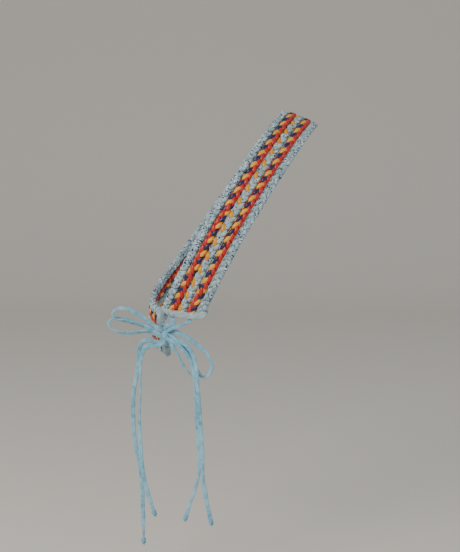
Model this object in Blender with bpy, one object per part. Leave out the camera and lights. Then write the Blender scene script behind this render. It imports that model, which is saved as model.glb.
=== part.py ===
"""Braided sash belt: five braids side by side, two sewn end bindings and a bow of cloth ties.

Metres, +Z up. The origin is where the sash sits on top of the shoulder, +X runs across the
body towards that shoulder's arm, and -Y is the front. The sash goes from the tie at the waist
up over the chest, over the shoulder, down the back and round the side to the tie again.
"""

import math
from collections import namedtuple

import bmesh
import bpy
import numpy as np

# The whole sash: how far it reaches from the shoulder, and how wide and thick it is
SASH_REACH = 0.224
SASH_DEPTH = 0.115
SASH_DROP = 0.310
BRAID_WIDTH = 0.0122
BRAID_THICKNESS = 0.0090
CLEARANCE = 0.0003

# Each braid is four strands, and one turn of a strand takes this length
BRAID_TURN = 0.0225
STATIONS_PER_TURN = 4

# The ends are sheared, and the braids lie on a body that is round across them too
END_SHEAR = math.radians(33.0)
CROSS_RADIUS = 0.120

# Sewn bindings over the braid ends
BINDING_DEPTH = 0.0125
BINDING_THICKNESS = 0.0100
BINDING_OVERHANG = 0.0020

# Cloth ties, the bow's knot and the knots that end the tails
TIE_THICKNESS = 0.0036
LOOP_STEP = 0.0085
TAIL_STEP = 0.0115
KNOT_CENTRE = (-0.198, -0.079, -0.308)
KNOT_HALF_WIDTH = 0.0072
KNOT_HALF_DEPTH = 0.0062
KNOT_HALF_HEIGHT = 0.0078
END_KNOT_RADIUS = 0.0042
END_KNOT_LENGTH = 0.0120

# The sash's middle line, in shares of its reach, depth and drop, with the share of its full
# width; the first and last rows lie past its ends
Station = namedtuple("Station", "reach depth drop spread")
LAY = (
    Station(0.853, -0.590, 0.997, 1.14),
    Station(0.780, -0.733, 0.897, 1.09),
    Station(0.633, -0.952, 0.685, 1.02),
    Station(0.486, -0.980, 0.492, 1.00),
    Station(0.284, -0.770, 0.263, 0.98),
    Station(0.103, -0.390, 0.080, 0.96),
    Station(0.005, 0.000, 0.000, 0.95),
    Station(0.100, 0.420, 0.098, 0.96),
    Station(0.290, 0.750, 0.289, 0.98),
    Station(0.513, 0.849, 0.518, 1.00),
    Station(0.737, 0.739, 0.734, 1.00),
    Station(0.940, 0.360, 0.895, 1.00),
    Station(1.000, 0.000, 0.966, 1.00),
    Station(0.928, -0.430, 1.010, 1.00),
    Station(0.820, -0.710, 1.026, 1.00),
)

# The middle of the hollow that the sash goes round, in shares of the same three sizes
Core = namedtuple("Core", "reach depth drop")
HOLLOW = (
    Core(0.219, 0.0, 0.227),
    Core(0.467, 0.0, 0.660),
    Core(0.467, 0.0, 1.300),
)
HOLLOW_FLATNESS = 0.64

# A braid's section where the strand over its left side is uppermost; each corner's place is a
# share of half the width and half the thickness
Corner = namedtuple("Corner", "side face")
BRAID_SECTION = (
    Corner(0.84, 0.36),
    Corner(-0.26, 1.00),
    Corner(-1.00, 0.46),
    Corner(-0.72, -1.00),
    Corner(0.96, -0.80),
)
BRAID_SECTION_MIRRORED = tuple(
    Corner(-corner.side, corner.face) for corner in BRAID_SECTION[2::-1] + BRAID_SECTION[:2:-1]
)

# The braids from the neck side to the arm side
Braid = namedtuple("Braid", "name colour")
BRAIDS = (
    Braid("outer_braid_neck_side", (0.36, 0.49, 0.53)),
    Braid("colour_braid_neck_side", (0.46, 0.03, 0.02)),
    Braid("centre_braid", (0.45, 0.44, 0.33)),
    Braid("colour_braid_arm_side", (0.46, 0.03, 0.02)),
    Braid("outer_braid_arm_side", (0.36, 0.49, 0.53)),
)
TIE_COLOUR = (0.24, 0.46, 0.55)
BINDING_COLOUR = (0.38, 0.48, 0.49)

# A binding's outline along its length, in shares of its depth and thickness: sewn cloth that is
# fuller where it covers a braid and nipped at its ends
Fold = namedtuple("Fold", "along depth thickness")
BINDING_FOLDS = (
    Fold(-1.00, 0.74, 0.62),
    Fold(-0.93, 0.92, 0.88),
    Fold(-0.60, 1.00, 1.00),
    Fold(-0.30, 0.93, 0.93),
    Fold(0.00, 0.98, 1.00),
    Fold(0.32, 0.94, 0.94),
    Fold(0.62, 1.04, 1.00),
    Fold(0.93, 1.02, 0.88),
    Fold(1.00, 0.84, 0.62),
)
BINDING_SIDES = 10

# Where each lead leaves its binding, as a share of half the binding's length, and the points
# that it passes on its way to the bow's knot
Lead = namedtuple("Lead", "name end share route")
LEADS = (
    Lead("front_lead_near", "front", -0.28, ((-0.1870, -0.0880, -0.2900), (-0.1990, -0.0800, -0.2985))),
    Lead("front_lead_far", "front", 0.46, ((-0.1770, -0.0940, -0.2930), (-0.1940, -0.0850, -0.3015))),
    Lead("back_lead_upper", "back", -0.30, ((-0.1950, -0.0690, -0.2975), (-0.1985, -0.0745, -0.3010))),
    Lead("back_lead_lower", "back", 0.55, ((-0.1880, -0.0755, -0.3250), (-0.1955, -0.0750, -0.3150))),
)

# The bow's loops and tails, from the knot; a loop comes back to it
Cord = namedtuple("Cord", "name route")
LOOPS = (
    Cord("loop_left_upper", (
        (-0.205, -0.083, -0.302), (-0.219, -0.084, -0.292), (-0.236, -0.084, -0.279),
        (-0.252, -0.084, -0.271), (-0.266, -0.083, -0.270), (-0.275, -0.081, -0.277),
        (-0.271, -0.080, -0.286), (-0.258, -0.079, -0.288), (-0.236, -0.080, -0.293),
        (-0.217, -0.082, -0.301), (-0.206, -0.082, -0.308),
    )),
    Cord("loop_left_lower", (
        (-0.205, -0.0765, -0.305), (-0.219, -0.073, -0.300), (-0.238, -0.073, -0.294),
        (-0.259, -0.073, -0.288), (-0.275, -0.073, -0.286), (-0.282, -0.076, -0.293),
        (-0.275, -0.079, -0.301), (-0.262, -0.080, -0.306), (-0.244, -0.080, -0.306),
        (-0.226, -0.079, -0.304), (-0.213, -0.078, -0.308), (-0.205, -0.078, -0.312),
    )),
    Cord("loop_right_outer", (
        (-0.1905, -0.081, -0.3035), (-0.179, -0.088, -0.305), (-0.163, -0.094, -0.313),
        (-0.148, -0.098, -0.324), (-0.136, -0.100, -0.337), (-0.131, -0.101, -0.351),
        (-0.136, -0.101, -0.364), (-0.145, -0.100, -0.367), (-0.152, -0.098, -0.358),
        (-0.159, -0.094, -0.342), (-0.170, -0.089, -0.328), (-0.182, -0.083, -0.316),
        (-0.190, -0.079, -0.3095),
    )),
    Cord("loop_right_inner", (
        (-0.194, -0.082, -0.315), (-0.188, -0.085, -0.325), (-0.181, -0.087, -0.337),
        (-0.174, -0.088, -0.350), (-0.167, -0.089, -0.361), (-0.159, -0.089, -0.366),
        (-0.154, -0.089, -0.359), (-0.158, -0.088, -0.347), (-0.167, -0.086, -0.335),
        (-0.177, -0.083, -0.325), (-0.186, -0.079, -0.318), (-0.192, -0.0765, -0.3135),
    )),
)
TAILS = (
    Cord("tail_left_outer", (
        (-0.201, -0.078, -0.315), (-0.2055, -0.078, -0.320), (-0.215, -0.078, -0.319),
        (-0.224, -0.078, -0.317),
        (-0.233, -0.077, -0.321), (-0.238, -0.075, -0.334), (-0.239, -0.071, -0.354),
        (-0.243, -0.068, -0.377), (-0.247, -0.065, -0.398), (-0.248, -0.062, -0.431),
        (-0.246, -0.061, -0.470), (-0.240, -0.061, -0.500), (-0.236, -0.061, -0.527),
        (-0.235, -0.061, -0.568), (-0.234, -0.061, -0.606), (-0.234, -0.061, -0.617),
    )),
    Cord("tail_left_inner", (
        (-0.199, -0.082, -0.315), (-0.203, -0.0845, -0.321), (-0.211, -0.086, -0.324),
        (-0.220, -0.086, -0.324),
        (-0.229, -0.084, -0.329), (-0.234, -0.081, -0.343), (-0.236, -0.077, -0.367),
        (-0.236, -0.073, -0.400), (-0.238, -0.071, -0.435), (-0.237, -0.070, -0.468),
        (-0.235, -0.070, -0.506), (-0.230, -0.070, -0.535), (-0.223, -0.071, -0.559),
        (-0.219, -0.072, -0.571),
    )),
    Cord("tail_right_outer", (
        (-0.1915, -0.085, -0.309), (-0.181, -0.0935, -0.3150), (-0.167, -0.102, -0.321),
        (-0.158, -0.106, -0.335), (-0.154, -0.108, -0.353), (-0.152, -0.108, -0.377),
        (-0.149, -0.107, -0.417), (-0.147, -0.107, -0.454), (-0.145, -0.108, -0.480),
        (-0.145, -0.108, -0.502), (-0.142, -0.108, -0.529), (-0.138, -0.108, -0.554),
        (-0.134, -0.108, -0.573),
    )),
    Cord("tail_right_inner", (
        (-0.196, -0.0855, -0.3135), (-0.186, -0.092, -0.317), (-0.173, -0.097, -0.328),
        (-0.163, -0.100, -0.341), (-0.158, -0.101, -0.360), (-0.156, -0.101, -0.383),
        (-0.154, -0.100, -0.420), (-0.151, -0.100, -0.460), (-0.149, -0.101, -0.492),
        (-0.153, -0.101, -0.523), (-0.163, -0.101, -0.553), (-0.168, -0.101, -0.569),
    )),
)

# The bow's knot, turned about its upright axis: rings of the lump, with the two wraps that
# stand proud and the dent between them
Ring = namedtuple("Ring", "height girth")
KNOT_RINGS = (
    Ring(-0.92, 0.95),
    Ring(-0.55, 1.00),
    Ring(-0.16, 0.98),
    Ring(0.08, 0.97),
    Ring(0.42, 1.00),
    Ring(0.92, 0.95),
)
END_KNOT_RINGS = (
    Ring(-0.96, 1.40),
    Ring(-0.70, 0.75),
    Ring(-0.46, 0.95),
    Ring(-0.04, 1.00),
    Ring(0.20, 0.86),
    Ring(0.52, 1.10),
    Ring(0.92, 1.30),
)
KNOT_SIDES = 12
END_KNOT_SIDES = 8


def unit(vector):
    """The vector at length one."""
    return vector / np.linalg.norm(vector)


def smooth_curve(points):
    """Many points on a smooth curve through the given ones."""
    points = np.asarray(points, float)
    padded = np.vstack([2 * points[0] - points[1], points, 2 * points[-1] - points[-2]])
    dense = []
    for before, start, end, after in zip(padded, padded[1:], padded[2:], padded[3:]):
        chord = np.linalg.norm((end - start)[:3])
        reach_in = np.linalg.norm((start - before)[:3])
        reach_out = np.linalg.norm((after - end)[:3])
        slope_in = (end - before) * chord / (chord + reach_in)
        slope_out = (after - start) * chord / (chord + reach_out)
        for t in np.linspace(0.0, 1.0, 24, endpoint=False):
            rise = t * t * (3 - 2 * t)
            lead = t * (1 - t) ** 2
            trail = t * t * (t - 1)
            dense.append(start + (end - start) * rise + slope_in * lead + slope_out * trail)
    dense.append(points[-1])
    return np.array(dense)


def run_along(line):
    """The distance along a line of points to each of them."""
    steps = np.linalg.norm(np.diff(line[:, :3], axis=0), axis=1)
    return np.concatenate([[0.0], np.cumsum(steps)])


def spaced(line, step):
    """Points on a line, evenly spaced at about the given step."""
    run = run_along(line)
    marks = np.linspace(0.0, run[-1], round(run[-1] / step) + 1)
    return np.column_stack([np.interp(marks, run, column) for column in line.T])


class Sash:
    """The sash's middle line, with its directions at any distance from the front end."""

    def __init__(self):
        rows = [
            (
                -row.reach * SASH_REACH,
                row.depth * SASH_DEPTH,
                BRAID_THICKNESS / 2 - row.drop * SASH_DROP,
                row.spread,
            )
            for row in LAY
        ]
        line = smooth_curve(rows)
        self.points = line[:, :3]
        self.spreads = line[:, 3]
        self.runs = run_along(line)
        front = self.nearest(np.array(rows[1][:3]))
        back = self.nearest(np.array(rows[-2][:3]))
        self.length = back - front
        self.runs -= front
        self.core = np.array(
            [(-c.reach * SASH_REACH, c.depth * SASH_DEPTH, -c.drop * SASH_DROP) for c in HOLLOW]
        )

    def nearest(self, point):
        """The distance along the line of its point nearest to the given one."""
        return self.runs[np.argmin(np.linalg.norm(self.points - point, axis=1))]

    def middle(self, run):
        """The middle line's point at a distance from the front end."""
        return np.array([np.interp(run, self.runs, column) for column in self.points.T])

    def outward(self, point):
        """The direction away from the hollow's core, flattened as a body is."""
        best = None
        for start, end in zip(self.core, self.core[1:]):
            share = np.dot(point - start, end - start) / np.dot(end - start, end - start)
            foot = start + (end - start) * min(max(share, 0.0), 1.0)
            away = point - foot
            if best is None or np.linalg.norm(away) < np.linalg.norm(best):
                best = away
        return unit(best * (HOLLOW_FLATNESS, 1.0, 1.0))

    def frame(self, run):
        """Point, direction along, direction across towards the arm side, and outward."""
        reach = 0.006
        point = self.middle(run)
        along = unit(self.middle(run + reach) - self.middle(run - reach))
        away = sum(self.outward(self.middle(run + shift)) for shift in (-reach, 0.0, reach))
        across = unit(np.cross(along, away))
        return point, along, across, np.cross(across, along)

    def place(self, run, offset, lift=0.0):
        """A point beside the middle line, on the round of the body, lifted off it."""
        point, _, across, away = self.frame(run)
        turn = offset / CROSS_RADIUS
        side = across * (CROSS_RADIUS + lift) * math.sin(turn)
        return point + side + away * ((CROSS_RADIUS + lift) * math.cos(turn) - CROSS_RADIUS)

    def spread(self, run):
        """The share of its full width that the sash has there."""
        return float(np.interp(run, self.runs, self.spreads))

    def end_run(self, end, offset):
        """Where a sheared end lies at an offset from the middle line."""
        start = 0.0 if end == "front" else self.length
        return start + offset * math.tan(END_SHEAR)


def material(name, colour, roughness):
    """A plain material for one sub-part."""
    finish = bpy.data.materials.new(name)
    finish.use_nodes = True
    shader = finish.node_tree.nodes["Principled BSDF"]
    shader.inputs["Base Color"].default_value = (*colour, 1.0)
    shader.inputs["Roughness"].default_value = roughness
    return finish


def add_object(name, data, finish):
    """Puts mesh or curve data in the scene under a node's name."""
    data.materials.append(finish)
    piece = bpy.data.objects.new(name, data)
    bpy.context.scene.collection.objects.link(piece)
    return piece


def loft(name, rings, finish):
    """A closed solid through rings that all have the same number of points."""
    solid = bmesh.new()
    loops = [[solid.verts.new(point) for point in ring] for ring in rings]
    for ring, following in zip(loops, loops[1:]):
        for here, there, ahead, beside in zip(
            ring, ring[1:] + ring[:1], following[1:] + following[:1], following
        ):
            solid.faces.new((here, there, ahead, beside))
    solid.faces.new(loops[0])
    solid.faces.new(loops[-1])
    bmesh.ops.recalc_face_normals(solid, faces=solid.faces)
    bmesh.ops.triangulate(solid, faces=solid.faces)
    mesh = bpy.data.meshes.new(name)
    solid.to_mesh(mesh)
    solid.free()
    mesh.shade_smooth()
    mesh.set_sharp_from_angle(angle=math.radians(50.0))
    return add_object(name, mesh, finish)


def braid(sash, index, finish):
    """One braid: its strands come uppermost by turns on its two sides."""
    place = index - (len(BRAIDS) - 1) / 2
    half_width = (BRAID_WIDTH - CLEARANCE) / 2
    half_thickness = BRAID_THICKNESS / 2
    middle = place * BRAID_WIDTH
    start = sash.end_run("front", middle * sash.spread(0.0)) + CLEARANCE
    stop = sash.end_run("back", middle * sash.spread(sash.length)) - CLEARANCE
    count = round((stop - start) / (BRAID_TURN / STATIONS_PER_TURN))
    rings = []
    for number, run in enumerate(np.linspace(start, stop, count + 1)):
        # Within one turn of an end the section leans until it lies along the sheared end
        lean = max(0.0, 1 - min(run - start, stop - run) / BRAID_TURN) * math.tan(END_SHEAR)
        ring = []
        for corner in BRAID_SECTION_MIRRORED if number % 2 else BRAID_SECTION:
            aside = corner.side * half_width * sash.spread(run)
            offset = middle * sash.spread(run) + aside
            ring.append(sash.place(run + lean * aside, offset, corner.face * half_thickness))
        rings.append(ring)
    return loft(BRAIDS[index].name, rings, finish)


def binding(name, sash, end, finish):
    """A bar of folded cloth sewn over the braid ends, along the sheared end."""
    half = len(BRAIDS) / 2 * BRAID_WIDTH * sash.spread(sash.end_run(end, 0.0)) + BINDING_OVERHANG
    outside = -1 if end == "front" else 1
    rings = []
    for fold in BINDING_FOLDS:
        offset = fold.along * half
        near = sash.end_run(end, offset)
        ring = []
        for number in range(BINDING_SIDES):
            turn = math.tau * (number + 0.5) / BINDING_SIDES
            deep = (1 - math.copysign(abs(math.cos(turn)) ** 0.6, math.cos(turn))) / 2
            high = math.copysign(abs(math.sin(turn)) ** 0.7, math.sin(turn)) / 2
            run = near + outside * deep * BINDING_DEPTH * fold.depth
            ring.append(sash.place(run, offset, high * BINDING_THICKNESS * fold.thickness))
        rings.append(ring)
    return loft(name, rings, finish)


def binding_exit(sash, end, share):
    """Two points straight out of a binding, the first just clear of its outer side."""
    half = len(BRAIDS) / 2 * BRAID_WIDTH * sash.spread(sash.end_run(end, 0.0)) + BINDING_OVERHANG
    outside = -1 if end == "front" else 1
    offset = share * half
    places = [fold.along for fold in BINDING_FOLDS]
    depth = BINDING_DEPTH * np.interp(share, places, [fold.depth for fold in BINDING_FOLDS])
    face = sash.end_run(end, offset) + outside * depth
    out = outside * math.cos(END_SHEAR)
    aside = -outside * math.sin(END_SHEAR)
    gaps = (2 * CLEARANCE, TIE_THICKNESS)
    return [sash.place(face + out * gap, offset + aside * gap) for gap in gaps]


def into_knot(point):
    """A point inside the bow's knot, behind the given one, that a cord comes out from."""
    centre = np.array(KNOT_CENTRE)
    return centre + (np.array(point) - centre) / 2


def cord_line(route, step):
    """A cord's points, a step apart, as far as the bow's knot."""
    line = spaced(smooth_curve(route), CLEARANCE)
    seat = CLEARANCE + TIE_THICKNESS / 6
    grown = np.array([KNOT_HALF_WIDTH, KNOT_HALF_DEPTH, KNOT_HALF_HEIGHT]) + seat
    away = np.linalg.norm((line - KNOT_CENTRE) / grown, axis=1)
    return spaced(line[away >= 1.0], step)


def tube(name, points, finish):
    """A cord: a round tube along its route, with filled ends."""
    data = bpy.data.curves.new(name, "CURVE")
    data.dimensions = "3D"
    data.bevel_depth = TIE_THICKNESS / 2
    data.bevel_resolution = 2
    data.use_fill_caps = True
    spline = data.splines.new("POLY")
    spline.points.add(len(points) - 1)
    for slot, point in zip(spline.points, points):
        slot.co = (*point, 1.0)
    return add_object(name, data, finish)


def lump(name, centre, axis, radii, rings, sides, finish):
    """A turned lump along an axis: radii are its two half widths and its half length."""
    axis = unit(np.asarray(axis, float))
    side = unit(np.cross(axis, (0.0, 1.0, 0.0)))
    front = np.cross(side, axis)
    shapes = []
    for ring in rings:
        shape = []
        for number in range(sides):
            turn = math.tau * number / sides
            girth = ring.girth * math.sqrt(1 - ring.height**2)
            round_side = side * radii[0] * girth * math.cos(turn)
            round_front = front * radii[1] * girth * math.sin(turn)
            shape.append(centre + axis * ring.height * radii[2] + round_side + round_front)
        shapes.append(shape)
    return loft(name, shapes, finish)


def end_knot(name, points, finish):
    """The knot below a tail, just clear of its end and in line with it."""
    down = unit(points[-1] - points[-2])
    half = END_KNOT_LENGTH / 2
    top = max(ring.height for ring in END_KNOT_RINGS)
    centre = points[-1] + down * (top * half + CLEARANCE)
    radii = (END_KNOT_RADIUS, END_KNOT_RADIUS, half)
    return lump(name, centre, -down, radii, END_KNOT_RINGS, END_KNOT_SIDES, finish)


def build():
    """The whole belt, piece by piece."""
    for item in list(bpy.data.objects):
        bpy.data.objects.remove(item, do_unlink=True)
    sash = Sash()
    tie_cloth = material("light_blue_tie_cloth", TIE_COLOUR, 0.75)
    binding_cloth = material("light_blue_binding_cloth", BINDING_COLOUR, 0.85)
    for index, row in enumerate(BRAIDS):
        braid(sash, index, material(row.name + "_cloth", row.colour, 0.6))
    binding("end_binding_front", sash, "front", binding_cloth)
    binding("end_binding_back", sash, "back", binding_cloth)
    radii = (KNOT_HALF_WIDTH, KNOT_HALF_DEPTH, KNOT_HALF_HEIGHT)
    lump("bow_knot", np.array(KNOT_CENTRE), (0.0, 0.0, 1.0), radii, KNOT_RINGS, KNOT_SIDES, tie_cloth)
    for lead in LEADS:
        route = [*binding_exit(sash, lead.end, lead.share), *lead.route, into_knot(lead.route[-1])]
        tube(lead.name, cord_line(route, LOOP_STEP / 2), tie_cloth)
    for cord in LOOPS:
        route = [into_knot(cord.route[0]), *cord.route, into_knot(cord.route[-1])]
        tube(cord.name, cord_line(route, LOOP_STEP), tie_cloth)
    for cord in TAILS:
        points = cord_line([into_knot(cord.route[0]), *cord.route], TAIL_STEP)
        tube(cord.name, points, tie_cloth)
        end_knot(cord.name.replace("tail", "end_knot"), points, tie_cloth)


build()
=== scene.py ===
"""Looks of the braided sash belt: cloth strands, sewn bindings and a bow of soft ties.

Metres, +Z up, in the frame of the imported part. The sash's middle line and the routes of the
ties are the ones that the part's solids follow, so each cloth piece lies on its own solid.
"""

import logging
import math
from dataclasses import dataclass, field
from enum import Enum
from typing import Any

import bpy
import numpy as np
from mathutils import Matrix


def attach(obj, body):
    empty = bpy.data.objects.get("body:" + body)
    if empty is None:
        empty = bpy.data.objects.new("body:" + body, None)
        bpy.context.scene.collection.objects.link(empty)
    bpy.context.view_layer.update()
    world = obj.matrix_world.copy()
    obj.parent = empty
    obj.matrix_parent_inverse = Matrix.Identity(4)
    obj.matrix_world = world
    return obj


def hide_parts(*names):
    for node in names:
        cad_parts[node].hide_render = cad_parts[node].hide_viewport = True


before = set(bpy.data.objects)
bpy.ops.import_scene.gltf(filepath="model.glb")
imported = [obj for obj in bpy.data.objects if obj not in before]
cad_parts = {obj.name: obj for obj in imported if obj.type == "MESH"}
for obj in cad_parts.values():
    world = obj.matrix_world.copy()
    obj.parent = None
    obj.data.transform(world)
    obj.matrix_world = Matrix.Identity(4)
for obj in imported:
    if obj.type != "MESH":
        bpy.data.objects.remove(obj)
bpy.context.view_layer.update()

log = logging.getLogger("sash_belt")

MM = 0.001
BODY = "root"
CLOTH_MAP = "Cloth"
CLOTH_UNIT = 0.1  # one unit of a piece's cloth map is 10 cm of cloth
WAVE_REPEAT = 0.314  # what a wave texture repeats after at scale 1, in units of its map

# The sash's middle line, in shares of its reach, depth and drop, with the share of its full
# width; the first and last rows lie past its ends
LAY = (
    (0.853, -0.590, 0.997, 1.14),
    (0.780, -0.733, 0.897, 1.09),
    (0.633, -0.952, 0.685, 1.02),
    (0.486, -0.980, 0.492, 1.00),
    (0.284, -0.770, 0.263, 0.98),
    (0.103, -0.390, 0.080, 0.96),
    (0.005, 0.000, 0.000, 0.95),
    (0.100, 0.420, 0.098, 0.96),
    (0.290, 0.750, 0.289, 0.98),
    (0.513, 0.849, 0.518, 1.00),
    (0.737, 0.739, 0.734, 1.00),
    (0.940, 0.360, 0.895, 1.00),
    (1.000, 0.000, 0.966, 1.00),
    (0.928, -0.430, 1.010, 1.00),
    (0.820, -0.710, 1.026, 1.00),
)

# The middle of the hollow that the sash goes round, in shares of the same three sizes
HOLLOW = ((0.219, 0.0, 0.227), (0.467, 0.0, 0.660), (0.467, 0.0, 1.300))

KNOT_CENTRE = np.array((-0.198, -0.079, -0.308))
KNOT_HALVES = np.array((0.0072, 0.0062, 0.0078))

# The points, in millimetres, that each lead passes from its binding to the bow's knot
LEAD_ROUTES = {
    "front_lead_near": (
        (-187, -88, -290), (-199, -80, -298.5),
    ),
    "front_lead_far": (
        (-177, -94, -293), (-194, -85, -301.5),
    ),
    "back_lead_upper": (
        (-195, -69, -297.5), (-198.5, -74.5, -301),
    ),
    "back_lead_lower": (
        (-188, -75.5, -325), (-195.5, -75, -315),
    ),
}

# The bow's loops and tails from the knot, in millimetres; a loop comes back to it
CORD_ROUTES = {
    "loop_left_upper": (
        (-205, -83, -302), (-219, -84, -292), (-236, -84, -279), (-252, -84, -271),
        (-266, -83, -270), (-275, -81, -277), (-271, -80, -286), (-258, -79, -288),
        (-236, -80, -293), (-217, -82, -301), (-206, -82, -308),
    ),
    "loop_left_lower": (
        (-205, -76.5, -305), (-219, -73, -300), (-238, -73, -294), (-259, -73, -288),
        (-275, -73, -286), (-282, -76, -293), (-275, -79, -301), (-262, -80, -306),
        (-244, -80, -306), (-226, -79, -304), (-213, -78, -308), (-205, -78, -312),
    ),
    "loop_right_outer": (
        (-190.5, -81, -303.5), (-179, -88, -305), (-163, -94, -313), (-148, -98, -324),
        (-136, -100, -337), (-131, -101, -351), (-136, -101, -364), (-145, -100, -367),
        (-152, -98, -358), (-159, -94, -342), (-170, -89, -328), (-182, -83, -316),
        (-190, -79, -309.5),
    ),
    "loop_right_inner": (
        (-194, -82, -315), (-188, -85, -325), (-181, -87, -337), (-174, -88, -350),
        (-167, -89, -361), (-159, -89, -366), (-154, -89, -359), (-158, -88, -347),
        (-167, -86, -335), (-177, -83, -325), (-186, -79, -318), (-192, -76.5, -313.5),
    ),
    "tail_left_outer": (
        (-201, -78, -315), (-205.5, -78, -320), (-215, -78, -319), (-224, -78, -317),
        (-233, -77, -321), (-238, -75, -334), (-239, -71, -354), (-243, -68, -377),
        (-247, -65, -398), (-248, -62, -431), (-246, -61, -470), (-240, -61, -500),
        (-236, -61, -527), (-235, -61, -568), (-234, -61, -606), (-234, -61, -617),
    ),
    "tail_left_inner": (
        (-199, -82, -315), (-203, -84.5, -321), (-211, -86, -324), (-220, -86, -324),
        (-229, -84, -329), (-234, -81, -343), (-236, -77, -367), (-236, -73, -400),
        (-238, -71, -435), (-237, -70, -468), (-235, -70, -506), (-230, -70, -535),
        (-223, -71, -559), (-219, -72, -571),
    ),
    "tail_right_outer": (
        (-191.5, -85, -309), (-181, -93.5, -315), (-167, -102, -321), (-158, -106, -335),
        (-154, -108, -353), (-152, -108, -377), (-149, -107, -417), (-147, -107, -454),
        (-145, -108, -480), (-145, -108, -502), (-142, -108, -529), (-138, -108, -554),
        (-134, -108, -573),
    ),
    "tail_right_inner": (
        (-196, -85.5, -313.5), (-186, -92, -317), (-173, -97, -328), (-163, -100, -341),
        (-158, -101, -360), (-156, -101, -383), (-154, -100, -420), (-151, -100, -460),
        (-149, -101, -492), (-153, -101, -523), (-163, -101, -553), (-168, -101, -569),
    ),
}


class End(Enum):
    """The sash's two sheared ends, with the side of the end line that a binding lies on."""

    FRONT = -1
    BACK = 1


class Plait(Enum):
    """Which way the lumps of a braid lean, seen from outside with the shoulder uppermost."""

    OPENS_UP = 1
    OPENS_DOWN = -1


class Slot(Enum):
    """The record's material slots."""

    PRINTED = "printed_blue_cotton"
    SATIN = "colour_satin"
    CENTRE = "centre_mix"
    BINDING = "binding_cotton"
    TIE = "tie_cotton"


def unit(vectors: np.ndarray) -> np.ndarray:
    """Vectors at length one."""
    return vectors / np.linalg.norm(vectors, axis=-1, keepdims=True)


def smooth_curve(points: np.ndarray) -> np.ndarray:
    """Many points on a smooth curve through the given ones.

    Args:
        points: Rows whose first three columns are a place; more columns go along.

    Returns:
        The dense rows, with the given rows among them.
    """
    points = np.asarray(points, float)
    padded = np.vstack([2 * points[0] - points[1], points, 2 * points[-1] - points[-2]])
    share = np.linspace(0.0, 1.0, 24, endpoint=False)[:, None]
    rise = share * share * (3 - 2 * share)
    lead = share * (1 - share) ** 2
    trail = share * share * (share - 1)
    dense = []
    for before, start, end, after in zip(padded, padded[1:], padded[2:], padded[3:]):
        chord = np.linalg.norm((end - start)[:3])
        reach_in = np.linalg.norm((start - before)[:3])
        reach_out = np.linalg.norm((after - end)[:3])
        slope_in = (end - before) * chord / (chord + reach_in)
        slope_out = (after - start) * chord / (chord + reach_out)
        dense.append(start + (end - start) * rise + slope_in * lead + slope_out * trail)
    return np.vstack([*dense, points[-1:]])


def run_along(line: np.ndarray) -> np.ndarray:
    """The distance along a line of points to each of them."""
    steps = np.linalg.norm(np.diff(line[:, :3], axis=0), axis=1)
    return np.concatenate([[0.0], np.cumsum(steps)])


def spaced(line: np.ndarray, step: float) -> np.ndarray:
    """Points on a line, evenly spaced at about the given step."""
    run = run_along(line)
    marks = np.linspace(0.0, run[-1], round(run[-1] / step) + 1)
    return np.column_stack([np.interp(marks, run, column) for column in line.T])


def ripple(run: np.ndarray, lengths: tuple[float, ...], seed: int) -> np.ndarray:
    """An uneven wave between about -1 and 1, as a hand leaves in cloth.

    Args:
        run: Distances, in metres.
        lengths: The wave lengths that are laid over one another, in metres.
        seed: Sets where each wave starts.

    Returns:
        The wave's height at each distance.
    """
    starts = np.random.default_rng(seed).uniform(0.0, math.tau, len(lengths))
    waves = [np.sin(math.tau * run / length + start) for length, start in zip(lengths, starts)]
    return sum(waves) / len(waves)


def groove(across: np.ndarray, middle: np.ndarray | float, half_width: float) -> np.ndarray:
    """How deep a soft groove is at each place across it, from 0 to 1."""
    return np.exp(-(((across - middle) / half_width) ** 2))


def ring_angles(sides: int) -> np.ndarray:
    """Angles round a ring, from the seam in the middle of its underside."""
    return np.linspace(-math.pi / 2, 1.5 * math.pi, sides, endpoint=False)


def squared_off(waves: np.ndarray, power: float) -> np.ndarray:
    """Sines or cosines made fuller, as a flattened section needs; 1 leaves them as they are."""
    return np.sign(waves) * np.abs(waves) ** power


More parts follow.
